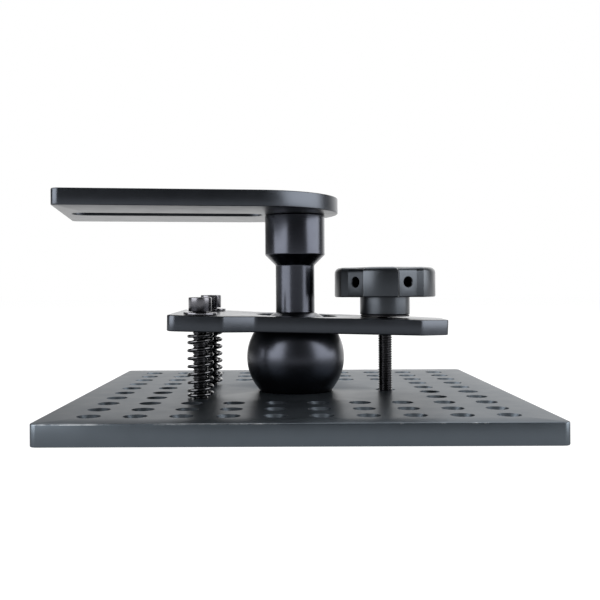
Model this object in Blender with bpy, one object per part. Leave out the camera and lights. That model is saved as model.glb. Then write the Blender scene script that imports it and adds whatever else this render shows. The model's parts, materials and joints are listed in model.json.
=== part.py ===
# Levelling head: a drilled base plate, a ball that carries an offset arm, and a sprung clamp plate
# that a star knob pulls down on the ball.
#
# All sizes are in metres, +Z is up, and z = 0 is the underside of the base plate, with the ball's
# centre straight above the origin. The long side of the clamp plate runs along X.

from math import acos, asin, ceil, cos, pi, radians, sin, sqrt

import bmesh
import bpy
import numpy as np
from mathutils import Euler, Matrix, Vector

# Fits shared by all pieces
GAP = 0.0003                 # running gap between pieces that touch
OVERRUN = 0.001              # how far a cutter passes the face that it leaves

# Screw thread, drawn as a plain rod at its pitch diameter (3/8 inch, 16 turns an inch)
THREAD_D = 0.0085
THREAD_CORE_DEPTH = 0.0005   # bevel at the point of each threaded rod
TAPPED_CHAMFER = 0.0021      # depth of the 45 degree mouth of a tapped hole in the base
PIVOT_HOLE_CHAMFER = 0.0008  # depth of the mouth under a spring, which has to carry the coil
ROD_SIDES = 16
HOLE_SIDES = 12

# Base plate
HOLE_PITCH = 0.025
HOLES_A_SIDE = 10
PLATE_MARGIN = 0.025         # from the outer rows of holes to the edge
PLATE_T = 0.012
PLATE_CORNER = 0.004
EDGE_BREAK = 0.0007          # small chamfer round the rims of all plates
BARE_COLUMNS = (3, 8)        # first and last column of the field left undrilled under the ball
BARE_ROWS = (4, 7)

# Ball and its pocket in the base plate
BALL_D = 0.065
POCKET_FLOOR = 0.0015        # metal left under the ball
POCKET_RELIEF_ANGLE = radians(37.6)   # from the pocket's axis to the inner edge of the seat
POCKET_RIM = 0.0005          # chamfer at the pocket's mouth
BALL_SEGMENTS = 36
ROUND_SEGMENTS = 48
ARC_STEP = radians(5.0)

# Stem and collar
STEM_D = 0.026
COLLAR_D = 0.040
COLLAR_H = 0.0265
ARM_RISE = 0.0947            # from the ball's centre to the arm's underside
STEM_EDGE = 0.0005

# Arm plate, in its own frame: the stem's axis is the origin and the arm runs towards -X
ARM_W = 0.120
ARM_T = 0.010
ARM_NOSE = 0.028             # from the stem's axis to the tip of the half-round end
ARM_TAIL = 0.152             # from the stem's axis to the square end
ARM_CORNER = 0.005
ARM_YAW = radians(8.3)
SLOT_W = 0.020
SLOT_TAIL_MARGIN = 0.006     # metal between the slot and the square end
SLOT_TO_STEM = 0.022         # from the stem's axis to the near end of the slot
NOSE_STEPS = 28
SLOT_STEPS = 10
CORNER_STEPS = 4

# Bolt that holds the arm on the stem
BOLT_HEAD_D = 0.0186
BOLT_HEAD_H = 0.0050
BOLT_LENGTH = 0.026          # from the arm's top to the point
BOLT_HOLE_EXTRA = 0.002      # blind hole left below the point
BOLT_HEX = 0.0056            # across flats
BOLT_HEX_DEPTH = 0.0032

# Clamp plate, which is tilted because the knob pulls one end down
CLAMP_T = 0.010
CLAMP_SEAT_ANGLE = radians(55.4)      # from the bore's axis to the circle that bears on the ball
CLAMP_SEAT_CHAMFER = 0.0007
CLAMP_TILT = radians(1.8)    # right end low
CLAMP_LEAN = radians(0.6)    # far side high
CLAMP_CLEAR_D = 0.011        # holes that the screws pass through
LOBE_MARGIN = 0.0125         # from the spring screws to the long sides of the lobes
LOBE_END_MARGIN = 0.020      # from the spring screws to the left end
LOBE_REACH = 0.014           # how far the lobes run on past the spring screws
WAIST_REACH = 0.035          # where the slanted sides end, from the spring screws
BORE_WALL = 0.011            # metal beside the bore at the waist
NOSE_MARGIN = 0.040          # from the knob's axis to the right end
NOSE_SHOULDER = 0.021        # from the knob's axis to the slanted corners
NOSE_HALF_W = 0.028
TIP_HALF_W = 0.014
CLAMP_LOBE_CORNER = 0.006
CLAMP_CORNER = 0.002

# Spring screws, which are the hinge of the clamp plate
PIVOT_X = 0.060              # to the left of the ball
PIVOT_Y = 0.0375             # in front of and behind the ball
SCREW_HEAD_D = 0.0145
SCREW_HEAD_H = 0.0089
SCREW_HEAD_EDGE = 0.0007
SCREW_HEX = 0.0079           # across flats
SCREW_HEX_DEPTH = 0.0048
SCREW_END = 0.002            # from the plate's underside to the points of the screws and the stud
PIVOT_WASHER_D = 0.021
PIVOT_WASHER_T = 0.0014
WASHER_BORE = 0.0102

# Springs
SPRING_OD = 0.0165
SPRING_WIRE = 0.002
SPRING_PITCH = 0.005
SPRING_END_SPACE = 0.0006    # between the two turns that are closed up at each end
SPRING_END_TURNS = 1
SPRING_POINTS = 10           # for each turn
SPRING_START = radians(150)  # where the wire's lower end lies

# Knob
KNOB_X = 0.060               # to the right of the ball
KNOB_R = 0.0334
KNOB_H = 0.0195
KNOB_LOBES = 5
VALLEY_DEPTH = 0.0046
VALLEY_FLOOR_W = 0.0128
VALLEY_START = radians(-65.6)         # first valley, turned from +X
LOBE_STEPS = 5
KNOB_TOP_ROUND = 0.0038
KNOB_ROUND_STEPS = 3
KNOB_BOTTOM_EDGE = 0.0008
HUB_D = 0.033
HUB_H = 0.0117
HUB_EDGE = 0.0008
BAR_HOLE_D = 0.0063
BAR_HOLE_CHAMFER = 0.0006
BAR_HOLE_REACH = 0.012       # from the knob's axis to the bottom of the blind holes
KNOB_WASHER_D = 0.0325
KNOB_WASHER_T = 0.0009
STUD_TOP_RECESS = 0.0015     # from the knob's top down to the stud's end
GRUB_L = 0.008
GRUB_HEX = 0.0032
GRUB_HEX_DEPTH = 0.003
GRUB_VALLEY = 2              # the valley, counted from the first, whose hole holds the grub screw

# Places that follow from the sizes above
PLATE_SIDE = (HOLES_A_SIDE - 1) * HOLE_PITCH + 2 * PLATE_MARGIN
TAPPED_D = THREAD_D + 2 * GAP
BALL_R = BALL_D / 2
SEAT_R = BALL_R + GAP
BALL_Z = POCKET_FLOOR + SEAT_R
ARM_Z = BALL_Z + ARM_RISE
BORE_R = SEAT_R * sin(CLAMP_SEAT_ANGLE)
CLAMP_UNDERSIDE = SEAT_R * cos(CLAMP_SEAT_ANGLE) - CLAMP_SEAT_CHAMFER
CLAMP_TOP = CLAMP_UNDERSIDE + CLAMP_T
CLAMP_TURN = Euler((CLAMP_LEAN, CLAMP_TILT, 0)).to_matrix()


def metal(name, colour, roughness):
    """A metal finish with one colour and roughness."""
    mat = bpy.data.materials.new(name)
    mat.use_nodes = True
    shader = mat.node_tree.nodes["Principled BSDF"]
    shader.inputs["Base Color"].default_value = (*colour, 1)
    shader.inputs["Roughness"].default_value = roughness
    shader.inputs["Metallic"].default_value = 1
    return mat


def keep(name, bm, mat=None, parent=None, place=(0, 0, 0)):
    """Turn a bmesh into a named object with its faces outward, and put it under its parent."""
    bmesh.ops.remove_doubles(bm, verts=bm.verts, dist=GAP / 30)
    bmesh.ops.recalc_face_normals(bm, faces=bm.faces)
    mesh = bpy.data.meshes.new(name)
    bm.to_mesh(mesh)
    bm.free()
    mesh.shade_smooth()
    mesh.set_sharp_from_angle(angle=radians(30))
    obj = bpy.data.objects.new(name, mesh)
    bpy.context.collection.objects.link(obj)
    obj.location = place
    obj.parent = parent
    if mat:
        mesh.materials.append(mat)
    return obj


def pivot(name, place, turn=None):
    """An empty on a joint's axis, which the pieces that turn there hang from."""
    empty = bpy.data.objects.new(name, None)
    bpy.context.collection.objects.link(empty)
    empty.location = place
    if turn:
        empty.rotation_euler = turn.to_euler()
    return empty


def boolean(obj, tool, operation="DIFFERENCE"):
    """Cut obj with tool, or join tool to it, and leave the tool out of the model."""
    tool.hide_render = True
    tool.display_type = "WIRE"
    mod = obj.modifiers.new(tool.name, "BOOLEAN")
    mod.operation = operation
    mod.solver = "EXACT"
    mod.object = tool


def turned(bm, profile, segments, closed=False, at=(0, 0, 0), turn=None):
    """Spin a profile of (radius, height) points about Z, then turn it and move it to its place."""
    there = set(bm.verts)
    verts = [bm.verts.new((r, 0, z)) for r, z in profile]
    edges = [bm.edges.new(pair) for pair in zip(verts, verts[1:])]
    if closed:
        edges.append(bm.edges.new((verts[-1], verts[0])))
    bmesh.ops.spin(bm, geom=verts + edges, cent=(0, 0, 0), axis=(0, 0, 1), angle=2 * pi,
                   steps=segments, use_merge=True, use_duplicate=False)
    place = Matrix.Translation(at) @ (turn.to_4x4() if turn else Matrix())
    bmesh.ops.transform(bm, matrix=place, verts=[v for v in bm.verts if v not in there])


def arc(centre, radius, start, end, steps):
    """Points of an arc, with both ends."""
    angles = [start + (end - start) * i / steps for i in range(steps + 1)]
    return [(centre[0] + radius * cos(a), centre[1] + radius * sin(a)) for a in angles]


def sphere_arc(radius, height, start, end):
    """Profile points on a sphere about (0, height), by angles from its pole."""
    steps = max(1, ceil(abs(end - start) / ARC_STEP))
    angles = [start + (end - start) * i / steps for i in range(steps + 1)]
    return [(radius * sin(a), height + radius * cos(a)) for a in angles]


def slab(outline, low, high, rim=0):
    """A plate of the outline between two heights, with its two rims chamfered."""
    bm = bmesh.new()
    face = bm.faces.new([bm.verts.new((x, y, low)) for x, y in outline])
    grown = bmesh.ops.extrude_face_region(bm, geom=[face])
    top = [v for v in grown["geom"] if isinstance(v, bmesh.types.BMVert)]
    bmesh.ops.translate(bm, vec=(0, 0, high - low), verts=top)
    if rim:
        break_rims(bm, rim)
    return bm


def upright_edges(bm):
    """The edges that stand between the two flat faces of a slab."""
    return [e for e in bm.edges if abs(e.verts[0].co.z - e.verts[1].co.z) > GAP]


def round_corners(bm, radius, chosen, steps=CORNER_STEPS):
    """Round the upright edges of a slab that chosen picks by their place."""
    edges = [e for e in upright_edges(bm) if chosen(e.verts[0].co)]
    bmesh.ops.bevel(bm, geom=edges, offset=radius, segments=steps, profile=0.5, affect="EDGES",
                    material=-1)


def break_rims(bm, width, segments=1, height=None):
    """Chamfer or round the rims of a slab, or only the rim at one height."""
    level = [e for e in bm.edges if abs(e.verts[0].co.z - e.verts[1].co.z) < GAP]
    if height is not None:
        level = [e for e in level if abs(e.verts[0].co.z - height) < GAP]
    bmesh.ops.bevel(bm, geom=level, offset=width, segments=segments, profile=0.5, affect="EDGES",
                    material=-1)


def hole_profile(radius, low, high, mouth_low=0, mouth_high=0):
    """Cutter for a through hole between two faces, with a 45 degree mouth at either face."""
    points = [(0, low - OVERRUN), (radius + (mouth_low + OVERRUN if mouth_low else 0), low - OVERRUN)]
    if mouth_low:
        points.append((radius, low + mouth_low))
    if mouth_high:
        points.append((radius, high - mouth_high))
    points += [(radius + (mouth_high + OVERRUN if mouth_high else 0), high + OVERRUN),
               (0, high + OVERRUN)]
    return points


def hexagon(bm, flats, low, high, at=(0, 0, 0), turn=None):
    """A hexagonal cutter by its width across flats."""
    radius = flats / 2 / cos(pi / 6)
    turned(bm, [(0, low), (radius, low), (radius, high), (0, high)], 6, at=at, turn=turn)


def on_clamp(x, y, height):
    """Where the upright line at x, y meets the plane that lies height above the ball's centre
    along the clamp plate's normal."""
    normal = CLAMP_TURN @ Vector((0, 0, 1))
    return Vector((x, y, BALL_Z + (height - normal.x * x - normal.y * y) / normal.z))


def in_clamp(point, hinge):
    """A point in the clamp plate's own frame, whose origin is the hinge."""
    return CLAMP_TURN.transposed() @ (point - hinge)


def base_plate(mat):
    half = PLATE_SIDE / 2
    bm = slab([(-half, -half), (half, -half), (half, half), (-half, half)], 0, PLATE_T)
    round_corners(bm, PLATE_CORNER, lambda co: True)
    break_rims(bm, EDGE_BREAK)
    plate = keep("base_plate", bm, mat)

    def tapped(bm, x, y, mouth):
        turned(bm, hole_profile(TAPPED_D / 2, 0, PLATE_T, mouth_high=mouth), HOLE_SIDES, at=(x, y, 0))

    holes = bmesh.new()
    first = -(HOLES_A_SIDE - 1) * HOLE_PITCH / 2
    for column in range(1, HOLES_A_SIDE + 1):
        for row in range(1, HOLES_A_SIDE + 1):
            bare = (BARE_COLUMNS[0] <= column <= BARE_COLUMNS[1]
                    and BARE_ROWS[0] <= row <= BARE_ROWS[1])
            if not bare:
                tapped(holes, first + (column - 1) * HOLE_PITCH, first + (row - 1) * HOLE_PITCH,
                       TAPPED_CHAMFER)
    tapped(holes, -PIVOT_X, -PIVOT_Y, PIVOT_HOLE_CHAMFER)
    tapped(holes, -PIVOT_X, PIVOT_Y, PIVOT_HOLE_CHAMFER)
    tapped(holes, KNOB_X, 0, TAPPED_CHAMFER)
    boolean(plate, keep("tapped_holes_cutter", holes))

    # The ball bears on a spherical seat, below which the pocket is relieved with straight walls
    rim_angle = acos((BALL_Z - PLATE_T) / SEAT_R)
    relief_r = SEAT_R * sin(POCKET_RELIEF_ANGLE)
    rim_r = SEAT_R * sin(rim_angle)
    seat = sphere_arc(SEAT_R, BALL_Z, pi - POCKET_RELIEF_ANGLE, pi - rim_angle)
    profile = [(0, POCKET_FLOOR), (relief_r, POCKET_FLOOR)] + seat[:-1]
    profile += [(rim_r - POCKET_RIM / 2, PLATE_T - POCKET_RIM), (rim_r + OVERRUN, PLATE_T + OVERRUN),
                (0, PLATE_T + OVERRUN)]
    pocket = bmesh.new()
    turned(pocket, profile, ROUND_SEGMENTS)
    boolean(plate, keep("pocket_cutter", pocket))


def ball(mat, centre):
    bm = bmesh.new()
    bmesh.ops.create_uvsphere(bm, u_segments=BALL_SEGMENTS, v_segments=BALL_SEGMENTS // 2,
                              radius=BALL_R)
    keep("ball", bm, mat, centre)


def stem(mat, centre):
    """Turned from one bar: a cupped foot on the ball, a neck, a 45 degree cone and a collar."""
    stem_r = STEM_D / 2
    collar_r = COLLAR_D / 2
    top = ARM_RISE - GAP
    shoulder = ARM_RISE - COLLAR_H
    cone_foot = shoulder - (collar_r - stem_r)
    hole_r = TAPPED_D / 2
    hole_floor = ARM_RISE + ARM_T - BOLT_LENGTH - BOLT_HOLE_EXTRA
    profile = sphere_arc(SEAT_R, 0, 0, asin(stem_r / SEAT_R))
    profile += [(stem_r, cone_foot), (collar_r, shoulder), (collar_r, top - STEM_EDGE),
                (collar_r - STEM_EDGE, top), (hole_r + STEM_EDGE, top), (hole_r, top - STEM_EDGE),
                (hole_r, hole_floor), (0, hole_floor)]
    bm = bmesh.new()
    turned(bm, profile, ROUND_SEGMENTS - ROUND_SEGMENTS // 3)
    keep("stem", bm, mat, centre)


def arm_plate(mat, turntable):
    nose_r = ARM_W / 2
    nose_x = ARM_NOSE - nose_r
    tail = -ARM_TAIL
    outline = arc((nose_x, 0), nose_r, -pi / 2, pi / 2, NOSE_STEPS)
    outline += arc((tail + ARM_CORNER, nose_r - ARM_CORNER), ARM_CORNER, pi / 2, pi, CORNER_STEPS)
    outline += arc((tail + ARM_CORNER, ARM_CORNER - nose_r), ARM_CORNER, pi, 3 * pi / 2, CORNER_STEPS)
    plate = keep("arm_plate", slab(outline, 0, ARM_T, EDGE_BREAK), mat, turntable)

    slot_r = SLOT_W / 2
    near = -SLOT_TO_STEM - slot_r
    far = tail + SLOT_TAIL_MARGIN + slot_r
    slot = arc((near, 0), slot_r, -pi / 2, pi / 2, SLOT_STEPS)
    slot += arc((far, 0), slot_r, pi / 2, 3 * pi / 2, SLOT_STEPS)
    boolean(plate, keep("slot_cutter", slab(slot, -OVERRUN, ARM_T + OVERRUN), None, turntable))

    # The bolt's hole is countersunk to the head's cone, a gap wider than the head
    head_r = BOLT_HEAD_D / 2 + GAP
    rod_r = TAPPED_D / 2
    bm = bmesh.new()
    turned(bm, [(0, -OVERRUN), (rod_r, -OVERRUN), (rod_r, ARM_T - BOLT_HEAD_H - GAP),
                (head_r, ARM_T - GAP), (head_r, ARM_T + OVERRUN), (0, ARM_T + OVERRUN)],
           ROUND_SEGMENTS // 2)
    boolean(plate, keep("countersink_cutter", bm, None, turntable))


def arm_bolt(mat, turntable):
    top = ARM_T - GAP
    head_r = BOLT_HEAD_D / 2
    rod_r = THREAD_D / 2
    point = ARM_T - BOLT_LENGTH
    bm = bmesh.new()
    turned(bm, [(0, point), (rod_r - THREAD_CORE_DEPTH, point), (rod_r, point + THREAD_CORE_DEPTH),
                (rod_r, ARM_T - BOLT_HEAD_H), (head_r, top - GAP), (head_r, top), (0, top)],
           ROUND_SEGMENTS // 2)
    bolt = keep("arm_bolt", bm, mat, turntable)
    socket = bmesh.new()
    hexagon(socket, BOLT_HEX, top - BOLT_HEX_DEPTH, top + OVERRUN)
    boolean(bolt, keep("arm_bolt_socket", socket, None, turntable))


def clamp_plate(mat, hinge, hinge_at):
    """Two lobes for the spring screws, a bore over the ball and a nose for the knob."""
    bore = in_clamp(Vector((0, 0, BALL_Z)), hinge_at)
    mid = (CLAMP_UNDERSIDE + CLAMP_TOP) / 2
    stud = in_clamp(on_clamp(KNOB_X, 0, mid), hinge_at)
    half = CLAMP_T / 2
    lobe = PIVOT_Y + LOBE_MARGIN
    waist = BORE_R + BORE_WALL
    tip = stud.x + NOSE_MARGIN
    upper = [(tip, TIP_HALF_W), (stud.x + NOSE_SHOULDER, NOSE_HALF_W), (WAIST_REACH, waist),
             (LOBE_REACH, lobe), (-LOBE_END_MARGIN, lobe)]
    outline = upper + [(x, -y) for x, y in reversed(upper)]
    bm = slab(outline, -half, half)
    round_corners(bm, CLAMP_LOBE_CORNER, lambda co: co.x < -LOBE_END_MARGIN + GAP)
    round_corners(bm, CLAMP_CORNER, lambda co: co.x > LOBE_REACH - GAP)
    break_rims(bm, EDGE_BREAK)
    plate = keep("clamp_plate", bm, mat, hinge)

    cutters = bmesh.new()
    turned(cutters, hole_profile(BORE_R, -half, half, CLAMP_SEAT_CHAMFER, EDGE_BREAK),
           ROUND_SEGMENTS, at=(bore.x, bore.y, 0))
    for x, y in ((-PIVOT_X, -PIVOT_Y), (-PIVOT_X, PIVOT_Y), (KNOB_X, 0)):
        place = in_clamp(on_clamp(x, y, mid), hinge_at)
        turned(cutters, hole_profile(CLAMP_CLEAR_D / 2, -half, half), ROD_SIDES,
               at=(place.x, place.y, 0))
    boolean(plate, keep("clamp_holes_cutter", cutters, None, hinge))


def pivot_washer(name, mat, y, hinge, hinge_at):
    low = CLAMP_T / 2 + GAP
    place = in_clamp(on_clamp(-PIVOT_X, y, CLAMP_TOP), hinge_at)
    inner = WASHER_BORE / 2
    outer = PIVOT_WASHER_D / 2
    high = low + PIVOT_WASHER_T
    bm = bmesh.new()
    turned(bm, [(inner, low), (outer, low), (outer, high), (inner, high)],
           ROUND_SEGMENTS // 2, closed=True, at=(place.x, place.y, 0))
    keep(name, bm, mat, hinge)


def pivot_screw(name, mat, y):
    """A socket head cap screw, which stays upright while its washer lies on the tilted plate."""
    head_r = SCREW_HEAD_D / 2
    rod_r = THREAD_D / 2
    left = on_clamp(-PIVOT_X - head_r, y, CLAMP_TOP + GAP + PIVOT_WASHER_T)
    under = left.z + GAP
    top = under + SCREW_HEAD_H
    bm = bmesh.new()
    turned(bm, [(0, SCREW_END), (rod_r - THREAD_CORE_DEPTH, SCREW_END),
                (rod_r, SCREW_END + THREAD_CORE_DEPTH), (rod_r, under), (head_r, under),
                (head_r, top - SCREW_HEAD_EDGE), (head_r - SCREW_HEAD_EDGE, top), (0, top)],
           ROUND_SEGMENTS // 2)
    screw = keep(name, bm, mat, place=(-PIVOT_X, y, 0))
    socket = bmesh.new()
    hexagon(socket, SCREW_HEX, top - SCREW_HEX_DEPTH, top + OVERRUN)
    boolean(screw, keep(name + "_socket", socket, place=(-PIVOT_X, y, 0)))


def spring_points(height):
    """Centre line of a right-hand compression spring, with its end turns closed up and the wire
    straight and level for one diameter at each end."""
    radius = (SPRING_OD - SPRING_WIRE) / 2
    end_pitch = SPRING_WIRE + SPRING_END_SPACE
    closed = SPRING_END_TURNS * end_pitch
    open_turns = (height - 2 * closed) / SPRING_PITCH
    turns = open_turns + 2 * SPRING_END_TURNS

    def rise(turn):
        if turn < SPRING_END_TURNS:
            return turn * end_pitch
        if turn > turns - SPRING_END_TURNS:
            return height - (turns - turn) * end_pitch
        return closed + (turn - SPRING_END_TURNS) * SPRING_PITCH

    steps = ceil(turns * SPRING_POINTS)
    points = []
    for i in range(steps + 1):
        turn = turns * i / steps
        angle = SPRING_START + 2 * pi * turn
        points.append(Vector((radius * cos(angle), radius * sin(angle), rise(turn))))
    for end, sign in ((0, -1), (turns, 1)):
        angle = SPRING_START + 2 * pi * end
        along = Vector((-sin(angle), cos(angle), 0)) * sign * SPRING_WIRE
        if sign < 0:
            points.insert(0, points[0] + along)
        else:
            points.append(points[-1] + along)
    return points


def least_gap(points):
    """The least space between turns of the wire, from points laid close along its centre line."""
    line = np.array(points)
    shares = np.arange(SPRING_POINTS) / SPRING_POINTS
    dense = np.concatenate([line[:-1] + (line[1:] - line[:-1]) * share for share in shares])
    order = np.concatenate([np.arange(len(line) - 1) + share for share in shares])
    space = np.linalg.norm(dense[:, None] - dense[None], axis=2)
    space[np.abs(order[:, None] - order[None]) < SPRING_POINTS / 2] = np.inf
    return space.min() - SPRING_WIRE


def spring(name, mat, y):
    wire_r = SPRING_WIRE / 2
    low = PLATE_T + GAP + wire_r
    reach = SPRING_OD / 2
    ceiling = min(on_clamp(-PIVOT_X + dx, y + dy, CLAMP_UNDERSIDE).z
                  for dx in (-reach, reach) for dy in (-reach, reach))
    points = spring_points(ceiling - GAP - wire_r - low)
    print(name, "least gap to itself in metres:", round(least_gap(points), 6))
    curve = bpy.data.curves.new(name, "CURVE")
    curve.dimensions = "3D"
    curve.bevel_depth = wire_r
    curve.bevel_resolution = 1
    curve.use_fill_caps = True
    curve.twist_mode = "Z_UP"
    wire = curve.splines.new("POLY")
    wire.points.add(len(points) - 1)
    for target, point in zip(wire.points, points):
        target.co = (*point, 1)
    curve.materials.append(mat)
    obj = bpy.data.objects.new(name, curve)
    bpy.context.collection.objects.link(obj)
    obj.location = (-PIVOT_X, y, low)


def knob_heights():
    """Underside of the washer, underside of the hub and underside of the lobes."""
    washer = on_clamp(KNOB_X - KNOB_WASHER_D / 2, 0, CLAMP_TOP).z + GAP
    hub = washer + KNOB_WASHER_T + GAP
    return washer, hub, hub + HUB_H


def valley_angles():
    return [VALLEY_START + 2 * pi * k / KNOB_LOBES for k in range(KNOB_LOBES)]


def knob(mat, axis):
    """Five lobes with flat-floored valleys, a round hub below, and a hole for a bar in each valley."""
    hub_low, low = knob_heights()[1:]
    high = low + KNOB_H
    floor = KNOB_R - VALLEY_DEPTH
    half_floor = VALLEY_FLOOR_W / 2

    # The valley's walls rise at 45 degrees from its floor to the knob's radius
    reach = floor + half_floor
    to_rim = KNOB_R ** 2 - floor ** 2 - half_floor ** 2
    wall = (sqrt(reach ** 2 + 2 * to_rim) - reach) / 2
    mouth = asin((half_floor + wall) / KNOB_R)
    outline = []
    for centre in valley_angles():
        across = Vector((-sin(centre), cos(centre)))
        out = Vector((cos(centre), sin(centre)))
        for side in (-1, 1):
            corner = out * floor + across * side * half_floor
            outline.append((corner.x, corner.y))
        outline += arc((0, 0), KNOB_R, centre + mouth, centre + 2 * pi / KNOB_LOBES - mouth,
                       LOBE_STEPS)
    bm = slab(outline, low, high)
    break_rims(bm, KNOB_TOP_ROUND, KNOB_ROUND_STEPS, high)
    break_rims(bm, KNOB_BOTTOM_EDGE, 1, low)
    body = keep("knob", bm, mat, axis)

    hub = bmesh.new()
    hub_r = HUB_D / 2
    turned(hub, [(0, hub_low), (hub_r - HUB_EDGE, hub_low), (hub_r, hub_low + HUB_EDGE),
                 (hub_r, low + KNOB_H / 2), (0, low + KNOB_H / 2)], ROUND_SEGMENTS)
    boolean(body, keep("hub_blank", hub, None, axis), "UNION")

    holes = bmesh.new()
    turned(holes, hole_profile(TAPPED_D / 2, hub_low, high, HUB_EDGE, HUB_EDGE), ROD_SIDES)
    middle = low + KNOB_H / 2
    hole_r = BAR_HOLE_D / 2
    for k, centre in enumerate(valley_angles()):
        inner = 0 if k == GRUB_VALLEY else BAR_HOLE_REACH
        turn = Euler((0, pi / 2, centre)).to_matrix()
        turned(holes, [(0, inner), (hole_r, inner), (hole_r, floor - BAR_HOLE_CHAMFER),
                       (hole_r + BAR_HOLE_CHAMFER + OVERRUN, floor + OVERRUN), (0, floor + OVERRUN)],
               HOLE_SIDES, at=(0, 0, middle), turn=turn)
    boolean(body, keep("knob_holes_cutter", holes, None, axis))


def knob_stud(mat, axis):
    rod_r = THREAD_D / 2
    top = knob_heights()[2] + KNOB_H - STUD_TOP_RECESS
    bm = bmesh.new()
    turned(bm, [(0, SCREW_END), (rod_r - THREAD_CORE_DEPTH, SCREW_END),
                (rod_r, SCREW_END + THREAD_CORE_DEPTH), (rod_r, top - THREAD_CORE_DEPTH),
                (rod_r - THREAD_CORE_DEPTH, top), (0, top)], ROD_SIDES)
    keep("knob_stud", bm, mat, axis)


def knob_grub_screw(mat, axis):
    """The set screw deep in one of the bar holes, which stops the stud from turning in the knob."""
    middle = knob_heights()[2] + KNOB_H / 2
    turn = Euler((0, pi / 2, valley_angles()[GRUB_VALLEY])).to_matrix()
    radius = BAR_HOLE_D / 2 - GAP
    inner = THREAD_D / 2 + GAP
    outer = inner + GRUB_L
    bm = bmesh.new()
    turned(bm, [(0, inner), (radius, inner), (radius, outer), (0, outer)], HOLE_SIDES,
           at=(0, 0, middle), turn=turn)
    grub = keep("knob_grub_screw", bm, mat, axis)
    socket = bmesh.new()
    hexagon(socket, GRUB_HEX, outer - GRUB_HEX_DEPTH, outer + OVERRUN, at=(0, 0, middle), turn=turn)
    boolean(grub, keep("grub_socket", socket, None, axis))


def knob_washer(mat, axis):
    low = knob_heights()[0]
    inner = WASHER_BORE / 2
    outer = KNOB_WASHER_D / 2
    high = low + KNOB_WASHER_T
    bm = bmesh.new()
    turned(bm, [(inner, low), (outer, low), (outer, high), (inner, high)], ROUND_SEGMENTS,
           closed=True)
    keep("knob_washer", bm, mat, axis)


def build():
    for obj in list(bpy.data.objects):
        bpy.data.objects.remove(obj, do_unlink=True)
    anodised = metal("black_anodised_aluminium", (0.035, 0.039, 0.045), 0.38)
    turned_black = metal("polished_black_anodised", (0.022, 0.024, 0.030), 0.25)
    oxide = metal("black_oxide_steel", (0.030, 0.030, 0.032), 0.35)
    spring_steel = metal("blackened_spring_wire", (0.018, 0.018, 0.019), 0.25)

    base_plate(anodised)

    centre = pivot("ball_centre", (0, 0, BALL_Z))
    ball(turned_black, centre)
    stem(turned_black, centre)

    turntable = pivot("arm_turntable", (0, 0, ARM_Z), Euler((0, 0, ARM_YAW)).to_matrix())
    arm_plate(anodised, turntable)
    arm_bolt(oxide, turntable)

    hinge_at = on_clamp(-PIVOT_X, 0, (CLAMP_UNDERSIDE + CLAMP_TOP) / 2)
    hinge = pivot("clamp_hinge", hinge_at, CLAMP_TURN)
    clamp_plate(anodised, hinge, hinge_at)
    for place, y in (("front", -PIVOT_Y), ("rear", PIVOT_Y)):
        pivot_screw("pivot_screw_" + place, oxide, y)
        pivot_washer("pivot_washer_" + place, oxide, y, hinge, hinge_at)
        spring("spring_" + place, spring_steel, y)

    axis = pivot("knob_axis", (KNOB_X, 0, 0))
    knob(anodised, axis)
    knob_stud(oxide, axis)
    knob_grub_screw(oxide, axis)
    knob_washer(oxide, axis)


build()
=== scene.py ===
# Looks of the levelling head: fine meshes, real threads and black anodised finishes,
# on the CAD frame.
import json
from math import acos, asin, ceil, cos, pi, radians, sin, sqrt

import bmesh
import bpy
import numpy as np
from bpy.props import FloatProperty, FloatVectorProperty, IntProperty, PointerProperty
from mathutils import Euler, Matrix, Vector
from mathutils.geometry import delaunay_2d_cdt


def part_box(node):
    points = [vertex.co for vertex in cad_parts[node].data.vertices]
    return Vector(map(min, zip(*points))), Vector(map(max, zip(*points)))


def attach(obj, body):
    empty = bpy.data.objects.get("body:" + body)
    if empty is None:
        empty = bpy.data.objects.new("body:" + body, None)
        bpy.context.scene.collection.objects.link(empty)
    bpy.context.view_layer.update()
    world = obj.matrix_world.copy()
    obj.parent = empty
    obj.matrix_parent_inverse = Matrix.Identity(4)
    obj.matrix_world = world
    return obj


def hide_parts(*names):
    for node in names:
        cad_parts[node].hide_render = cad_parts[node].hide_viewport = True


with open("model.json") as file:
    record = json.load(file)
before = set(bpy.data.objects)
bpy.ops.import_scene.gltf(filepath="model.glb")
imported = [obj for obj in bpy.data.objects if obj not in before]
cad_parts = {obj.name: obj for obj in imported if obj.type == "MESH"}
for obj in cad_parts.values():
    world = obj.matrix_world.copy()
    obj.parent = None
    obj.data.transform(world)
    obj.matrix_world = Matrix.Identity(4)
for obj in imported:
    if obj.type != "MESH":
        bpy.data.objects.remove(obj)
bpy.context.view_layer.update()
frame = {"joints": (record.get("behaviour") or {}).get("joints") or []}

bl_info = {
    "name": "Levelling head",
    "version": (1, 0, 0),
    "blender": (4, 5, 0),
    "location": "View3D > Sidebar > Levelling head",
    "description": "Builds a drilled plate with a clamped ball, an offset arm and a star knob",
    "category": "Object",
}

MM = 0.001
WELD = 0.00001               # verts closer than this are one
LEVEL = 0.00002              # heights closer than this are the same
FLAT = 1                     # mark of a face that is shaded flat
BROAD = 0.003                # a face with no edge shorter than this is shaded flat too
FACING = 0.999               # squared cosine above which a face looks straight the given way
SPARE = 2                    # thread turns made past each end, and cut off again
THREAD_FORM = ((0, 0), (0.25, 0), (0.5625, 1), (0.6875, 1), (1, 0))    # share of a turn, crest
NOISE_LOW, NOISE_HIGH = 0.3, 0.7                # most of a noise pattern lies between them
COLOUR_A, COLOUR_B, COLOUR_OUT = 6, 7, 2        # a Mix node's sockets for colours
VALUE_A, VALUE_B = 2, 3                         # and for values

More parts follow.
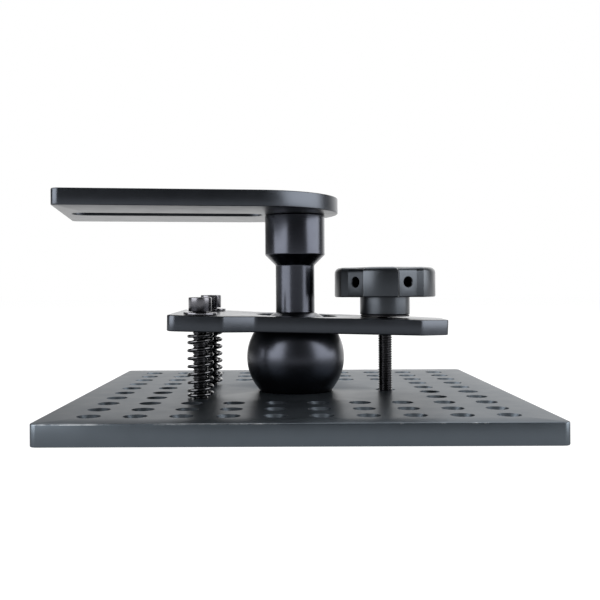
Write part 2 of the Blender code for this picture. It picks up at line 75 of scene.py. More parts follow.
# Flats in a full turn
ROUND_WIDE = 128             # the ball, the stem and the clamp plate's bore
ROUND = 96                   # the ball's pocket, the hub and the thrust washer
ROUND_WASHER = 72
ROUND_BOLT = 64
ROUND_HOLE = 48
ROUND_GRUB = 32

# Flats in an arc
NOSE_STEPS = 96
SLOT_STEPS = 24
LOBE_STEPS = 16
SEAT_STEPS = 12
POCKET_STEPS = 10
CORNER_STEPS = 10


def colour(value):
    """A #rrggbb colour as linear RGBA."""
    parts = [int(value[i:i + 2], 16) / 255 for i in (1, 3, 5)]
    linear = [c / 12.92 if c <= 0.04045 else ((c + 0.055) / 1.055) ** 2.4 for c in parts]
    return (*linear, 1.0)


def size(name, text, metres):
    return FloatProperty(name=name, description=text, default=metres, unit="LENGTH", precision=5)


def angle(name, text, degrees):
    return FloatProperty(name=name, description=text, default=radians(degrees), subtype="ANGLE")


def count(name, text, default):
    return IntProperty(name=name, description=text, default=default)


def amount(name, text, default):
    return FloatProperty(name=name, description=text, default=default)


def paint(name, text, value):
    return FloatVectorProperty(name=name, description=text, default=colour(value), size=4,
                               subtype="COLOR", min=0, max=1)


class HeadThread(bpy.types.PropertyGroup):
    pitch: size("Pitch", "Height of one turn of the 3/8 inch thread", 0.0015875)
    root: size("Root", "Radius at the bottom of the screws' thread", 0.0041)
    crest: size("Crest", "Radius at the top of the screws' thread", 0.00473)
    play: size("Play", "Space between a screw's thread and the thread that it turns in", 0.00012)
    steps: count("Steps", "Flats in one turn of a thread", 32)


class HeadPlate(bpy.types.PropertyGroup):
    pitch: size("Hole pitch", "Distance between two holes of the base plate", 0.025)
    across: count("Holes a side", "Rows and columns of holes", 10)
    bare_columns: count("Bare columns", "Columns left out under the ball", 6)
    bare_rows: count("Bare rows", "Rows left out under the ball", 4)
    corner: size("Corner radius", "Round of the base plate's upright corners", 0.004)
    rim: size("Rim", "Broken edge round the faces of all plates", 0.0007)
    mouth: size("Mouth", "Radius of a hole's countersunk mouth", 0.00665)
    spring_mouth: size("Spring mouth", "Radius of the mouth under a spring", 0.00535)
    foot_chamfer: size("Foot chamfer", "Depth of the chamfer at a hole's lower end", 0.0005)
    pocket_angle: angle("Pocket angle", "From the pocket's axis to its seat's inner edge", 37.6)
    fit: size("Fit", "Running gap between pieces that touch", 0.0003)


class HeadArm(bpy.types.PropertyGroup):
    yaw: angle("Turn", "How far the arm is turned on the stem", 8.3)
    width: size("Width", "Across the arm", 0.120)
    nose: size("Nose", "From the stem's axis to the tip of the half-round end", 0.028)
    tail: size("Tail", "From the stem's axis to the square end", 0.152)
    corner: size("Corner", "Round of the corners at the square end", 0.005)
    slot: size("Slot width", "Across the slot", 0.020)
    slot_tail: size("Slot margin", "Metal between the slot and the square end", 0.006)
    slot_near: size("Slot start", "From the stem's axis to the slot", 0.022)


class HeadClamp(bpy.types.PropertyGroup):
    tilt: angle("Tilt", "How far the knob's end is pulled down", 1.8)
    lean: angle("Lean", "How far the far side stands higher", 0.6)
    seat: angle("Seat angle", "From the bore's axis to the circle that bears on the ball", 55.4)
    seat_chamfer: size("Seat chamfer", "Chamfer at the bore's lower edge", 0.0007)
    clear: size("Clearance hole", "Radius of the holes that the screws pass", 0.0055)
    lobe: size("Lobe margin", "From the spring screws to the lobes' long sides", 0.0125)
    lobe_end: size("Lobe end", "From the spring screws to the left end", 0.020)
    lobe_reach: size("Lobe reach", "How far the lobes run on past the spring screws", 0.014)
    waist_reach: size("Waist", "From the spring screws to the end of the slanted sides", 0.035)
    wall: size("Bore wall", "Metal beside the bore at the waist", 0.011)
    nose: size("Nose", "From the knob's axis to the right end", 0.040)
    shoulder: size("Shoulder", "From the knob's axis to the slanted corners", 0.021)
    nose_half: size("Nose half width", "Half of the plate's width at the slanted corners", 0.028)
    tip_half: size("Tip half width", "Half of the plate's width at the right end", 0.014)
    lobe_corner: size("Lobe corner", "Round of the corners at the left end", 0.006)
    corner: size("Corner", "Round of the other corners", 0.002)


class HeadScrews(bpy.types.PropertyGroup):
    edge: size("Head edge", "Round of a cap screw's top edge", 0.0006)
    ridges: count("Ridges", "Ridges of the knurl on a head", 56)
    ridge: size("Ridge depth", "Depth of the knurl", 0.00003)
    knurl_top: size("Knurl top", "From a head's top to the full depth of its knurl", 0.00096)
    hex_turn: angle("Socket turn", "How far the cap screws' sockets are turned", 20)
    hex: size("Socket", "Across the flats of the cap screws' sockets", 0.0079)
    hex_depth: size("Socket depth", "Depth of the cap screws' sockets", 0.0048)
    bolt_hex: size("Bolt socket", "Across the flats of the arm bolt's socket", 0.0056)
    bolt_hex_depth: size("Bolt socket depth", "Depth of the arm bolt's socket", 0.0032)
    grub: size("Grub screw", "Length of the grub screw", 0.0075)
    grub_hex: size("Grub socket", "Across the flats of the grub screw's socket", 0.0032)
    wire: size("Spring wire", "Diameter of the springs' wire", 0.002)
    coil_pitch: size("Coil pitch", "Height of one open turn of a spring", 0.005)
    end_space: size("End space", "Space between the closed end turns of a spring", 0.0006)
    start: angle("Spring start", "Where a spring's lower end lies", 150)


class HeadKnob(bpy.types.PropertyGroup):
    depth: size("Valley depth", "Depth of a valley", 0.0046)
    floor: size("Valley floor", "Width of a valley's flat floor", 0.0128)
    start: angle("Valley start", "Turn of the first valley from +X", -65.6)
    lobes: count("Lobes", "Lobes round the knob", 5)
    radius: size("Radius", "Radius over the lobes", 0.0334)
    top_round: size("Top round", "Round of the knob's top edge", 0.0038)
    low_edge: size("Lower edge", "Round of the knob's lower edge", 0.0009)
    height: size("Height", "Height of the lobes", 0.0195)
    hub: size("Hub radius", "Radius of the hub", 0.0165)
    bar_hole: size("Bar hole", "Radius of a hole for the bar", 0.00315)
    bar_mouth: size("Bar hole mouth", "Radius of a bar hole's chamfered mouth", 0.003654)
    bar_reach: size("Bar hole reach", "From the knob's axis to the bottom of a bar hole", 0.012)
    grub_valley: count("Grub valley", "Valley with the grub screw", 2)


class HeadLooks(bpy.types.PropertyGroup):
    plate: paint("Base plate", "Black anodised plate, with a cold grey sheen", "#4b5157")
    satin: paint("Satin", "Black anodised arm and clamp plate", "#383b40")
    knob: paint("Knob", "Black anodised knob", "#36393d")
    turned: paint("Turned", "Black anodised stem and ball", "#34363c")
    oxide: paint("Oxide", "Black oxide on the screws and washers", "#545458")
    # Nearly black: painted shade on the knob's washer, in the gap under the knob's hub
    dry: paint("Shaded washer", "Black oxide on the knob's washer, darkened as painted shade", "#232325")
    wire: paint("Spring wire", "Blackened wire", "#444446")
    # Light grey, painted as a highlight along the base plate's upper edges
    highlight_grey: paint("Edge highlight", "Light painted along the base plate's upper edges", "#94979a")
    wall: paint("Wall", "White background", "#ffffff")
    paper: paint("Paper", "White paper that the head stands on", "#f2f2f2")


GROUPS = {"thread": HeadThread, "plate": HeadPlate, "arm": HeadArm, "clamp": HeadClamp,
          "screws": HeadScrews, "knob": HeadKnob, "looks": HeadLooks}


def settings(name):
    return getattr(bpy.context.scene, "head_" + name)


# Meshes

def weld(bm, verts):
    """Make one of verts that lie together."""
    bmesh.ops.remove_doubles(bm, verts=verts, dist=WELD)


def chain(bm, profile):
    """Verts at (radius, height) points, and the edges from each to the next."""
    verts = [bm.verts.new((r, 0, z)) for r, z in profile]
    return verts, [bm.edges.new(pair) for pair in zip(verts, verts[1:])]


def wound(bm, geom, turns, rise, steps):
    """Wind a section about Z, with a rise at each step, and give its far end."""
    made = bmesh.ops.spin(bm, geom=geom, cent=(0, 0, 0), axis=(0, 0, 1), angle=2 * pi * turns,
                          dvec=(0, 0, rise), steps=steps, use_merge=False, use_duplicate=False)
    return made["geom_last"]


def turned(bm, profile, steps, closed=False, place=None):
    """Spin a profile of (radius, height) points about Z, and move what it makes to its place."""
    there = set(bm.verts)
    verts, edges = chain(bm, profile)
    if closed:
        edges.append(bm.edges.new((verts[-1], verts[0])))
    bmesh.ops.spin(bm, geom=verts + edges, cent=(0, 0, 0), axis=(0, 0, 1), angle=2 * pi,
                   steps=steps, use_merge=True, use_duplicate=False)
    made = [v for v in bm.verts if v not in there]
    if place is not None:
        bmesh.ops.transform(bm, matrix=place, verts=made)
    return made


def arc(centre, radius, start, end, steps):
    """Points of an arc, with both ends."""
    angles = [start + (end - start) * i / steps for i in range(steps + 1)]
    return [(centre[0] + radius * cos(a), centre[1] + radius * sin(a)) for a in angles]


def quarter(steps):
    """Angles from nothing to a quarter turn."""
    return [i * pi / (2 * steps) for i in range(steps + 1)]


def fillet(corner, before, after, radius, steps):
    """Points that round the corner of a profile between the directions to its two neighbours."""
    corner, before, after = Vector(corner), Vector(before), Vector(after)
    one = (before - corner).normalized()
    two = (after - corner).normalized()
    shares = [i / steps for i in range(steps + 1)]
    return [tuple(corner + one * radius * (1 - t) ** 2 + two * radius * t ** 2) for t in shares]


def softened(profile, radius, steps, corners):
    """A profile with the corners of the given numbers rounded."""
    points = []
    for i, point in enumerate(profile):
        if i in corners:
            points += fillet(point, profile[i - 1], profile[(i + 1) % len(profile)], radius, steps)
        else:
            points.append(point)
    return points


def washer(bore, outer, low, high, steps):
    """A flat washer with rounded edges."""
    bm = bmesh.new()
    section = [(bore, low), (outer, low), (outer, high), (bore, high)]
    turned(bm, softened(section, (high - low) / 4, 3, range(4)), steps, closed=True)
    return bm


def slab(outline, low, high):
    """A plate with the outline between two heights."""
    bm = bmesh.new()
    face = bm.faces.new([bm.verts.new((x, y, low)) for x, y in outline])
    grown = bmesh.ops.extrude_face_region(bm, geom=[face])
    top = [v for v in grown["geom"] if isinstance(v, bmesh.types.BMVert)]
    bmesh.ops.translate(bm, vec=(0, 0, high - low), verts=top)
    return bm


def bevel(bm, edges, width, segments):
    bmesh.ops.bevel(bm, geom=edges, offset=width, segments=segments, profile=0.5, affect="EDGES",
                    material=-1)


def upright(bm):
    return [e for e in bm.edges if abs(e.verts[0].co.z - e.verts[1].co.z) > LEVEL]


def rim(bm, height):
    return [e for e in bm.edges if all(abs(v.co.z - height) < LEVEL for v in e.verts)]


def open_face(bm, height):
    """Take away the flat face at a height, and keep its edges."""
    faces = [f for f in bm.faces if all(abs(v.co.z - height) < LEVEL for v in f.verts)]
    bmesh.ops.delete(bm, geom=faces, context="FACES_ONLY")


def fill(bm, edges, turn=None):
    """Fill what lies between loops of edges in one plane, and leave the holes open. The turn lays
    that plane level."""
    turn = turn or Matrix()
    verts = []
    number = {}
    for v in (v for e in edges for v in e.verts):
        if v not in number:
            number[v] = len(verts)
            verts.append(v)
    flat = [(turn @ v.co).xy / MM for v in verts]
    pairs = [(number[e.verts[0]], number[e.verts[1]]) for e in edges]
    made = delaunay_2d_cdt(flat, pairs, [], 1, WELD)
    places, origins = made[0], made[3]
    starts = np.array([flat[a] for a, b in pairs])
    ends = np.array([flat[b] for a, b in pairs])
    for corners in made[2]:
        middle = sum((places[i] for i in corners), Vector((0, 0))) / len(corners)
        across = (starts[:, 1] > middle.y) != (ends[:, 1] > middle.y)
        low, high = starts[across], ends[across]
        share = (middle.y - low[:, 1]) / (high[:, 1] - low[:, 1])
        crossings = np.sum(low[:, 0] + share * (high[:, 0] - low[:, 0]) > middle.x)
        if crossings % 2:
            bm.faces.new([verts[origins[i][0]] for i in corners]).material_index = FLAT


def close_face(bm, height):
    """Fill all that is open at a height with one flat face round its holes."""
    weld(bm, bm.verts)
    fill(bm, [e for e in rim(bm, height) if len(e.link_faces) < 2])


def paste(bm, mesh, places):
    """Add copies of a mesh to a bmesh, one at each place."""
    for place in places:
        there = set(bm.verts)
        bm.from_mesh(mesh)
        bmesh.ops.translate(bm, vec=place, verts=[v for v in bm.verts if v not in there])


def as_mesh(bm, name="part"):
    mesh = bpy.data.meshes.new(name)
    bm.to_mesh(mesh)
    bm.free()
    return mesh


def put(name, data):
    """A new object in the scene."""
    obj = bpy.data.objects.new(name, data)
    bpy.context.scene.collection.objects.link(obj)
    return obj


def piece(name, bm, look, body, nodes, sharp=32, place=None):
    """Make the finished object: faces outward, smooth but for its flat faces and sharp edges,
    riding on its body."""
    weld(bm, bm.verts)
    bmesh.ops.recalc_face_normals(bm, faces=bm.faces)
    for face in bm.faces:
        broad = min(e.calc_length() for e in face.edges) > BROAD
        face.smooth = not (broad or face.material_index == FLAT)
        face.material_index = 0
    if place is not None:
        bmesh.ops.transform(bm, matrix=place, verts=bm.verts)
    mesh = as_mesh(bm, name)
    mesh.set_sharp_from_angle(angle=radians(sharp))
    mesh.materials.append(finish(look))
    obj = put(name, mesh)
    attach(obj, body)
    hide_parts(*nodes)
    return obj


def helix(bm, low, high, grown, outer):
    """A threaded wall about Z, whose turns are counted from z = 0 so that mating threads mesh.
    It is cut level at both ends, and chamfered to the outer radius there."""
    thread = settings("thread")
    first = int(low / thread.pitch) - SPARE
    turns = int((high - low) / thread.pitch) + 2 * SPARE
    steps = thread.steps
    there = set(bm.verts)
    verts, edges = chain(bm, [((thread.crest if crest else thread.root) + grown,
                               (first + share) * thread.pitch) for share, crest in THREAD_FORM])
    wound(bm, verts + edges, turns, thread.pitch / steps, steps * turns)
    weld(bm, [v for v in bm.verts if v not in there])
    for height, side in ((low, "clear_inner"), (high, "clear_outer")):
        geom = list(bm.verts) + list(bm.edges) + list(bm.faces)
        bmesh.ops.bisect_plane(bm, geom=geom, dist=WELD / 10, plane_co=(0, 0, height),
                               plane_no=(0, 0, 1), **{side: True})
    for edge in (low, high):
        for v in bm.verts:
            limit = outer + abs(v.co.z - edge)
            r = v.co.xy.length
            if r > limit:
                v.co.x *= limit / r
                v.co.y *= limit / r


def socket(bm, flats, top, depth, turn=0):
    """A hexagonal socket: its walls, with a drill point below."""
    radius = flats / 2 / cos(pi / 6)
    turned(bm, [(radius, top), (radius, top - depth), (0, top - depth - flats / 8)], 6,
           place=Matrix.Rotation(turn, 4, "Z"))


def circle(bm, radius, steps, place):
    made = bmesh.ops.create_circle(bm, segments=steps, radius=radius, matrix=place)
    return made["verts"]


# Materials

def add(tree, kind, inputs=(), **values):
    """Add a node, set its values and link or set its inputs."""
    node = tree.nodes.new("ShaderNode" + kind)
    for key, value in values.items():
        setattr(node, key, value)
    for name, value in dict(inputs).items():
        if isinstance(value, bpy.types.NodeSocket):
            tree.links.new(value, node.inputs[name])
        else:
            node.inputs[name].default_value = value
    return node


def blank_tree(owner):
    """The node tree of a new material or world, with nothing in it."""
    owner.use_nodes = True
    owner.node_tree.nodes.clear()
    return owner.node_tree


def start_material(name):
    mat = bpy.data.materials.new(name)
    tree = blank_tree(mat)
    shader = add(tree, "BsdfPrincipled", {"Metallic": 1.0})
    add(tree, "OutputMaterial", {"Surface": shader.outputs["BSDF"]})
    return mat, tree, shader


def per_metre(millimetres):
    """Texture scale whose features are about this size."""
    return 1 / (millimetres * MM)


def tinted(tree, base, pattern, low, high, start=0.0, end=1.0):
    """The base colour times low to high, as a pattern goes from start to end."""
    ramp = add(tree, "MapRange", {"Value": pattern, "From Min": start, "From Max": end,
                                  "To Min": low, "To Max": high})
    mix = add(tree, "Mix", {"Factor": 1.0, COLOUR_A: base, COLOUR_B: ramp.outputs["Result"]},
              data_type="RGBA", blend_type="MULTIPLY")
    return mix.outputs[COLOUR_OUT]


def surface(tree, shader, skin, gloss, low, high, relief, strength, depth):
    """Give a shader its colour, a roughness that a pattern moves from low to high, and a relief
    whose depth is in millimetres."""
    rough = add(tree, "MapRange", {"Value": gloss, "From Min": NOISE_LOW, "From Max": NOISE_HIGH,
                                   "To Min": low, "To Max": high})
    bump = add(tree, "Bump", {"Height": relief, "Strength": strength, "Distance": depth * MM})
    tree.links.new(skin, shader.inputs["Base Color"])
    tree.links.new(rough.outputs["Result"], shader.inputs["Roughness"])
    tree.links.new(bump.outputs["Normal"], shader.inputs["Normal"])


def painted_edge_highlight(tree, where):
    """1 in short runs along the base plate's upper edges, common at the left and rare at the
    right:
    the mask of a painted highlight where the edge chamfer catches the light."""
    common, rare, run = 0.42, 0.6, 16
    split = add(tree, "SeparateXYZ", {"Vector": where}).outputs
    sides = [add(tree, "Math", {0: split[axis]}, operation="ABSOLUTE").outputs["Value"]
             for axis in "XY"]
    out = add(tree, "Math", {0: sides[0], 1: sides[1]}, operation="MAXIMUM").outputs["Value"]
    edge = settings("plate").rim + LEVEL
    past = add(tree, "Math", {0: out, 1: PLATE_HIGH.x - edge}, operation="GREATER_THAN")
    upper = add(tree, "Math", {0: split["Z"], 1: PLATE_T - edge}, operation="GREATER_THAN")
    runs = add(tree, "TexNoise", {"Vector": where, "Scale": per_metre(run), "Detail": 6.0,
                                  "Roughness": 0.7})
    start = add(tree, "MapRange", {"Value": split["X"], "From Min": PLATE_LOW.x,
                                   "From Max": PLATE_HIGH.x, "To Min": common, "To Max": rare})
    painted_highlight = add(tree, "MapRange", {"Value": runs.outputs["Fac"],
                                  "From Min": start.outputs["Result"], "From Max": NOISE_HIGH})
    both = add(tree, "Math", {0: past.outputs["Value"], 1: upper.outputs["Value"]},
               operation="MULTIPLY")
    return add(tree, "Math", {0: both.outputs["Value"], 1: painted_highlight.outputs["Result"]},
               operation="MULTIPLY").outputs["Value"]


def anodised(name, base, rough, cloud, grain, depth, edge=1.0, painted_highlight=False):
    """Black anodised aluminium: a dyed oxide skin on blasted metal. The blasting leaves a fine
    grain, drawn coarser than it is so that it shows. The dye and the sealing bath leave clouds in
    the colour and the gloss. The edge is the light's strength where it grazes."""
    mat, tree, shader = start_material(name)
    where = add(tree, "TexCoord").outputs["Object"]
    clouds = add(tree, "TexNoise", {"Vector": where, "Scale": per_metre(cloud), "Detail": 3.0,
                                    "Roughness": 0.55}).outputs["Fac"]
    fine = add(tree, "TexNoise", {"Vector": where, "Scale": per_metre(grain), "Detail": 2.0,
                                  "Roughness": 0.6}).outputs["Fac"]
    shader.inputs["Specular Tint"].default_value = (edge, edge, edge, 1)
    skin = tinted(tree, base, clouds, 0.92, 1.08)
    # Painted highlight: light grey laid in runs along the base plate's upper edges
    if painted_highlight:
        mix = add(tree, "Mix", {"Factor": painted_edge_highlight(tree, where), COLOUR_A: skin,
                                COLOUR_B: tuple(settings("looks").highlight_grey)}, data_type="RGBA")
        skin = mix.outputs[COLOUR_OUT]
    surface(tree, shader, skin, clouds, rough - 0.02, rough + 0.02, fine, 0.25, depth)
    return mat


def turned_finish(name, base, rough, cloud, lay, depth):
    """Turned and anodised aluminium: the tool leaves fine rings round the axis, which draw the
    lights out into tall soft bands. The rings are drawn coarser than they are so that they
    show."""
    mat, tree, shader = start_material(name)
    where = add(tree, "TexCoord").outputs["Object"]
    split = add(tree, "SeparateXYZ", {"Vector": where})
    level = add(tree, "CombineXYZ", {"Z": split.outputs["Z"]})
    rings = add(tree, "TexNoise", {"Vector": level.outputs["Vector"], "Scale": per_metre(lay),
                                   "Detail": 3.0, "Roughness": 0.7}).outputs["Fac"]
    clouds = add(tree, "TexNoise", {"Vector": where, "Scale": per_metre(cloud), "Detail": 2.0})
    skin = tinted(tree, base, clouds.outputs["Fac"], 0.9, 1.1)
    surface(tree, shader, skin, rings, rough - 0.03, rough + 0.03, rings, 0.3, depth)
    return mat


def oxide_finish(name, base, rough, patch, depth, shade_below_washers=False):
    """Black oxide on steel: a thin skin of oil, mottled where the oil has dried. Where asked, the
    colour below the spring screws' washers, under the clamp plate and inside the springs, is
    darkened with painted shade."""
    mat, tree, shader = start_material(name)
    where = add(tree, "TexCoord").outputs["Object"]
    mottle = add(tree, "TexNoise", {"Vector": where, "Scale": per_metre(patch), "Detail": 4.0,
                                    "Roughness": 0.6}).outputs["Fac"]
    skin = tinted(tree, base, mottle, 0.9, 1.1)
    # Painted shade: the colour falls to 0.3 below the spring screws' washers, where the clamp
    # plate and the springs shade the threads
    if shade_below_washers:
        height = add(tree, "SeparateXYZ", {"Vector": where}).outputs["Z"]
        skin = tinted(tree, skin, height, 0.3, 1.0, WASHER_LOW - MM, WASHER_LOW)
    surface(tree, shader, skin, mottle, rough - 0.02, rough + 0.03, mottle, 0.2, depth)
    return mat


# How each finish is made: its colour, its roughness, and its pattern's sizes in millimetres
FINISHES = {
    # Milled and blasted plate: a cold grey sheen, faint clouds, and a painted highlight on its
    # upper edges
    "black anodised plate": (anodised, "plate", 0.34, 14, 0.5, 0.008, 0.55, True),
    # Milled and blasted bars: a darker, slightly glossier skin
    "black anodised satin": (anodised, "satin", 0.30, 11, 0.45, 0.01, 0.85),
    # Milled and blasted knob: soft lights that run round its lobes
    "black anodised knob": (anodised, "knob", 0.32, 11, 0.45, 0.008),
    # Turned bar: the sharpest and tallest bands of light
    "black anodised turned": (turned_finish, "turned", 0.25, 9, 0.35, 0.004),
    # Turned ball: the same skin with broader, duller lights
    "black anodised ball": (turned_finish, "turned", 0.31, 9, 0.5, 0.002),
    # Oiled screws and washers: small sharp lights on their edges
    # Screws and washers in a thin skin of oil: small sharp lights, painted shade below the washers
    "black oxide steel": (oxide_finish, "oxide", 0.26, 3, 0.002, True),
    # The knob's washer: matt, and nearly black with painted shade from the gap under the hub
    "dry black oxide steel": (oxide_finish, "dry", 0.45, 1.6, 0.004),
    # Drawn wire with a black skin: thin bright lines along the coils
    "blackened spring wire": (oxide_finish, "wire", 0.18, 0.9, 0.003),
}


def finish(name):
    """The material of a name, made on first use."""
    if name in bpy.data.materials:
        return bpy.data.materials[name]
    maker, tone, *values = FINISHES[name]
    return maker(name, tuple(getattr(settings("looks"), tone)), *values)


# Places read from the frame

PLATE_LOW, PLATE_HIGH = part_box("base_plate")
BALL_LOW, BALL_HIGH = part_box("ball")
ARM_LOW, ARM_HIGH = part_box("arm_plate")
STEM_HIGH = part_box("stem")[1]
KNOB_LOW, KNOB_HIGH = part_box("knob")
BALL_R = (BALL_HIGH.z - BALL_LOW.z) / 2
BALL_Z = (BALL_HIGH.z + BALL_LOW.z) / 2
PLATE_T = PLATE_HIGH.z
JOINTS = {joint["name"]: joint for joint in frame["joints"]}
HINGE = Vector(JOINTS["clamp_lift"]["pos_m"])
KNOB_X = JOINTS["knob_turn"]["pos_m"][0]
WASHER_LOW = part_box("pivot_washer_front")[0].z
PIVOTS = {name: sum(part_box("pivot_screw_" + name), Vector()) / 2 for name in ("front", "rear")}


def clamp_turn():
    clamp = settings("clamp")
    return Euler((clamp.lean, clamp.tilt, 0)).to_matrix()


def clamp_height(height, x, y):
    """Where the upright line at x, y meets the plane that lies height above the ball's centre
    along the clamp plate's normal."""
    normal = clamp_turn() @ Vector((0, 0, 1))
    return Vector((x, y, BALL_Z + (height - normal.x * x - normal.y * y) / normal.z))


def clamp_span():
    """Heights of the clamp plate's two faces above the ball's centre, along its normal."""
    clamp = settings("clamp")
    seat = BALL_R + settings("plate").fit
    thickness = 2 * (clamp_turn().transposed() @ (HINGE - Vector((0, 0, BALL_Z)))).z
    low = seat * cos(clamp.seat) - clamp.seat_chamfer
    return low, thickness - low


def hole_places(plate):
    """Every hole of the pattern, less the field under the ball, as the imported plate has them."""
    first = -(plate.across - 1) * plate.pitch / 2
    bare_x = (plate.bare_columns - 1) / 2 * plate.pitch + LEVEL
    bare_y = (plate.bare_rows - 1) / 2 * plate.pitch + LEVEL
    places = []
    for column in range(plate.across):
        for row in range(plate.across):
            x = first + column * plate.pitch
            y = first + row * plate.pitch
            if abs(x) > bare_x or abs(y) > bare_y:
                places.append((x, y, 0))
    return places


def tapped_hole(mouth):
    """The wall of one tapped hole: a countersunk mouth, a real thread and a chamfer below."""
    thread = settings("thread")
    plate = settings("plate")
    wide = thread.crest + 2 * thread.play
    throat = PLATE_T - (mouth - wide)
    foot = plate.foot_chamfer
    bm = bmesh.new()
    helix(bm, foot, throat, thread.play, 1)
    turned(bm, [(mouth, PLATE_T), (wide, throat)], thread.steps)
    turned(bm, [(wide, foot), (wide + foot, 0)], thread.steps)
    for height in (foot, throat):
        close_face(bm, height)
    return as_mesh(bm)


class HEAD_OT_base_plate(bpy.types.Operator):
    """Model the drilled base plate with its tapped holes and the ball's pocket"""
    bl_idname = "head.base_plate"
    bl_label = "Base plate"

    def execute(self, context):
        plate = settings("plate")
        half_x, half_y = PLATE_HIGH.x, PLATE_HIGH.y
        bm = slab([(-half_x, -half_y), (half_x, -half_y), (half_x, half_y), (-half_x, half_y)],
                  0, PLATE_T)
        bevel(bm, upright(bm), plate.corner, 6)
        bevel(bm, rim(bm, 0) + rim(bm, PLATE_T), plate.rim, 3)
        open_face(bm, 0)
        open_face(bm, PLATE_T)
        paste(bm, tapped_hole(plate.mouth), hole_places(plate) + [(KNOB_X, 0, 0)])
        paste(bm, tapped_hole(plate.spring_mouth), [(p.x, p.y, 0) for p in PIVOTS.values()])

        seat = BALL_R + plate.fit
        floor = BALL_LOW.z - plate.fit
        inner = seat * sin(plate.pocket_angle)
        rim_angle = pi - acos((BALL_Z - PLATE_T) / seat)
        start = pi - plate.pocket_angle
        angles = [start + (rim_angle - start) * i / POCKET_STEPS for i in range(POCKET_STEPS)]
        profile = [(0, floor), (inner, floor)]
        profile += [(seat * sin(a), BALL_Z + seat * cos(a)) for a in angles]
        profile.append((seat * sin(rim_angle) + plate.rim / 2, PLATE_T))
        turned(bm, profile, ROUND)
        close_face(bm, PLATE_T)
        close_face(bm, 0)
        piece("drilled_plate", bm, "black anodised plate", "base",
              ["base_plate"])
        return {"FINISHED"}


class HEAD_OT_ball(bpy.types.Operator):
    """Model the ball"""
    bl_idname = "head.ball"
    bl_label = "Ball"

    rows: count("Rows", "Rows of faces from pole to pole", 80)

    def execute(self, context):
        bm = bmesh.new()
        bmesh.ops.create_uvsphere(bm, u_segments=ROUND_WIDE, v_segments=self.rows, radius=BALL_R,
                                  matrix=Matrix.Translation((0, 0, BALL_Z)))
        piece("turned_ball", bm, "black anodised ball", "ball", ["ball"])
        return {"FINISHED"}


class HEAD_OT_stem(bpy.types.Operator):
    """Model the stem, its cone and its collar"""
    bl_idname = "head.stem"
    bl_label = "Stem and collar"

    neck: size("Neck radius", "Radius of the neck", 0.013)
    collar_h: size("Collar height", "Height of the collar", 0.0265)
    bolt_hole: size("Bolt hole", "Radius of the bolt's hole", 0.00485)
    drill: size("Drill", "Room below the bolt in its hole", 0.002)
    edge: size("Edge", "Round of the collar's edges", 0.0006)

    def execute(self, context):
        seat = BALL_R + settings("plate").fit
        collar = STEM_HIGH.x
        top = STEM_HIGH.z
        shoulder = ARM_LOW.z - self.collar_h
        end = asin(self.neck / seat)
        angles = [end * i / SEAT_STEPS for i in range(SEAT_STEPS + 1)]
        foot = [(seat * sin(a), BALL_Z + seat * cos(a)) for a in angles]
        bolt_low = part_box("arm_bolt")[0].z - self.drill
        body = [foot[-1], (self.neck, shoulder - (collar - self.neck)), (collar, shoulder),
                (collar, top), (self.bolt_hole, top), (self.bolt_hole, bolt_low), (0, bolt_low)]
        profile = foot[:-1] + softened(body, self.edge, 4, (1, 2, 3, 4))
        bm = bmesh.new()
        turned(bm, profile, ROUND_WIDE)
        piece("turned_stem", bm, "black anodised turned", "stem", ["stem"],
              sharp=40)
        return {"FINISHED"}


class HEAD_OT_arm(bpy.types.Operator):
    """Model the slotted arm plate and the bolt that holds it"""
    bl_idname = "head.arm"
    bl_label = "Arm"

    def execute(self, context):
        arm = settings("arm")
        low, high = ARM_LOW.z, ARM_HIGH.z
        half = arm.width / 2
        x, y = arm.corner - arm.tail, half - arm.corner
        outline = arc((arm.nose - half, 0), half, -pi / 2, pi / 2, NOSE_STEPS)
        outline += arc((x, y), arm.corner, pi / 2, pi, CORNER_STEPS)
        outline += arc((x, -y), arm.corner, pi, 3 * pi / 2, CORNER_STEPS)
        bm = slab(outline, low, high)
        edge = settings("plate").rim
        bevel(bm, rim(bm, low) + rim(bm, high), edge, 3)
        open_face(bm, low)
        open_face(bm, high)

        # The slot's wall, with its two rims broken
        r = arm.slot / 2
        ends = ((-arm.slot_near - r, -pi / 2), (-arm.tail + arm.slot_tail + r, pi / 2))
        levels = ((low, edge / 2), (low + edge / 2, 0), (high - edge / 2, 0), (high, edge / 2))
        loops = []
        for height, grown in levels:
            points = []
            for x, start in ends:
                points += arc((x, 0), r + grown, start, start + pi, SLOT_STEPS)
            verts = [bm.verts.new((x, y, height)) for x, y in points]
            loops.append([bm.edges.new(pair) for pair in zip(verts, verts[1:] + verts[:1])])
        for one, two in zip(loops, loops[1:]):
            bmesh.ops.bridge_loops(bm, edges=one + two)

        bolt_low, bolt_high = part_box("arm_bolt")
        head = (bolt_high.x - bolt_low.x) / 2 + settings("plate").fit
        rod = settings("thread").crest + settings("plate").fit
        turned(bm, [(head, high), (head, high - edge), (rod, high - edge - (head - rod)),
                    (rod, low)], ROUND_BOLT)
        close_face(bm, high)
        close_face(bm, low)
        turn = Matrix.Rotation(arm.yaw, 4, "Z")
        piece("slotted_arm", bm, "black anodised satin", "arm", ["arm_plate"],
              place=turn)

        screws = settings("screws")
        top = bolt_high.z
        head = (bolt_high.x - bolt_low.x) / 2
        thread = settings("thread")
        bm = bmesh.new()
        shank = thread.crest + thread.play
        neck = top - edge - (head - shank)
        helix(bm, bolt_low.z, neck, 0, thread.root)
        close_face(bm, bolt_low.z)
        turned(bm, [(shank, neck), (head, top - edge), (head, top - edge / 3),
                    (head - edge / 3, top)], ROUND_BOLT)
        close_face(bm, neck)
        socket(bm, screws.bolt_hex, top, screws.bolt_hex_depth)
        close_face(bm, top)
        piece("countersunk_bolt", bm, "black oxide steel", "arm", ["arm_bolt"],
              place=turn)
        return {"FINISHED"}


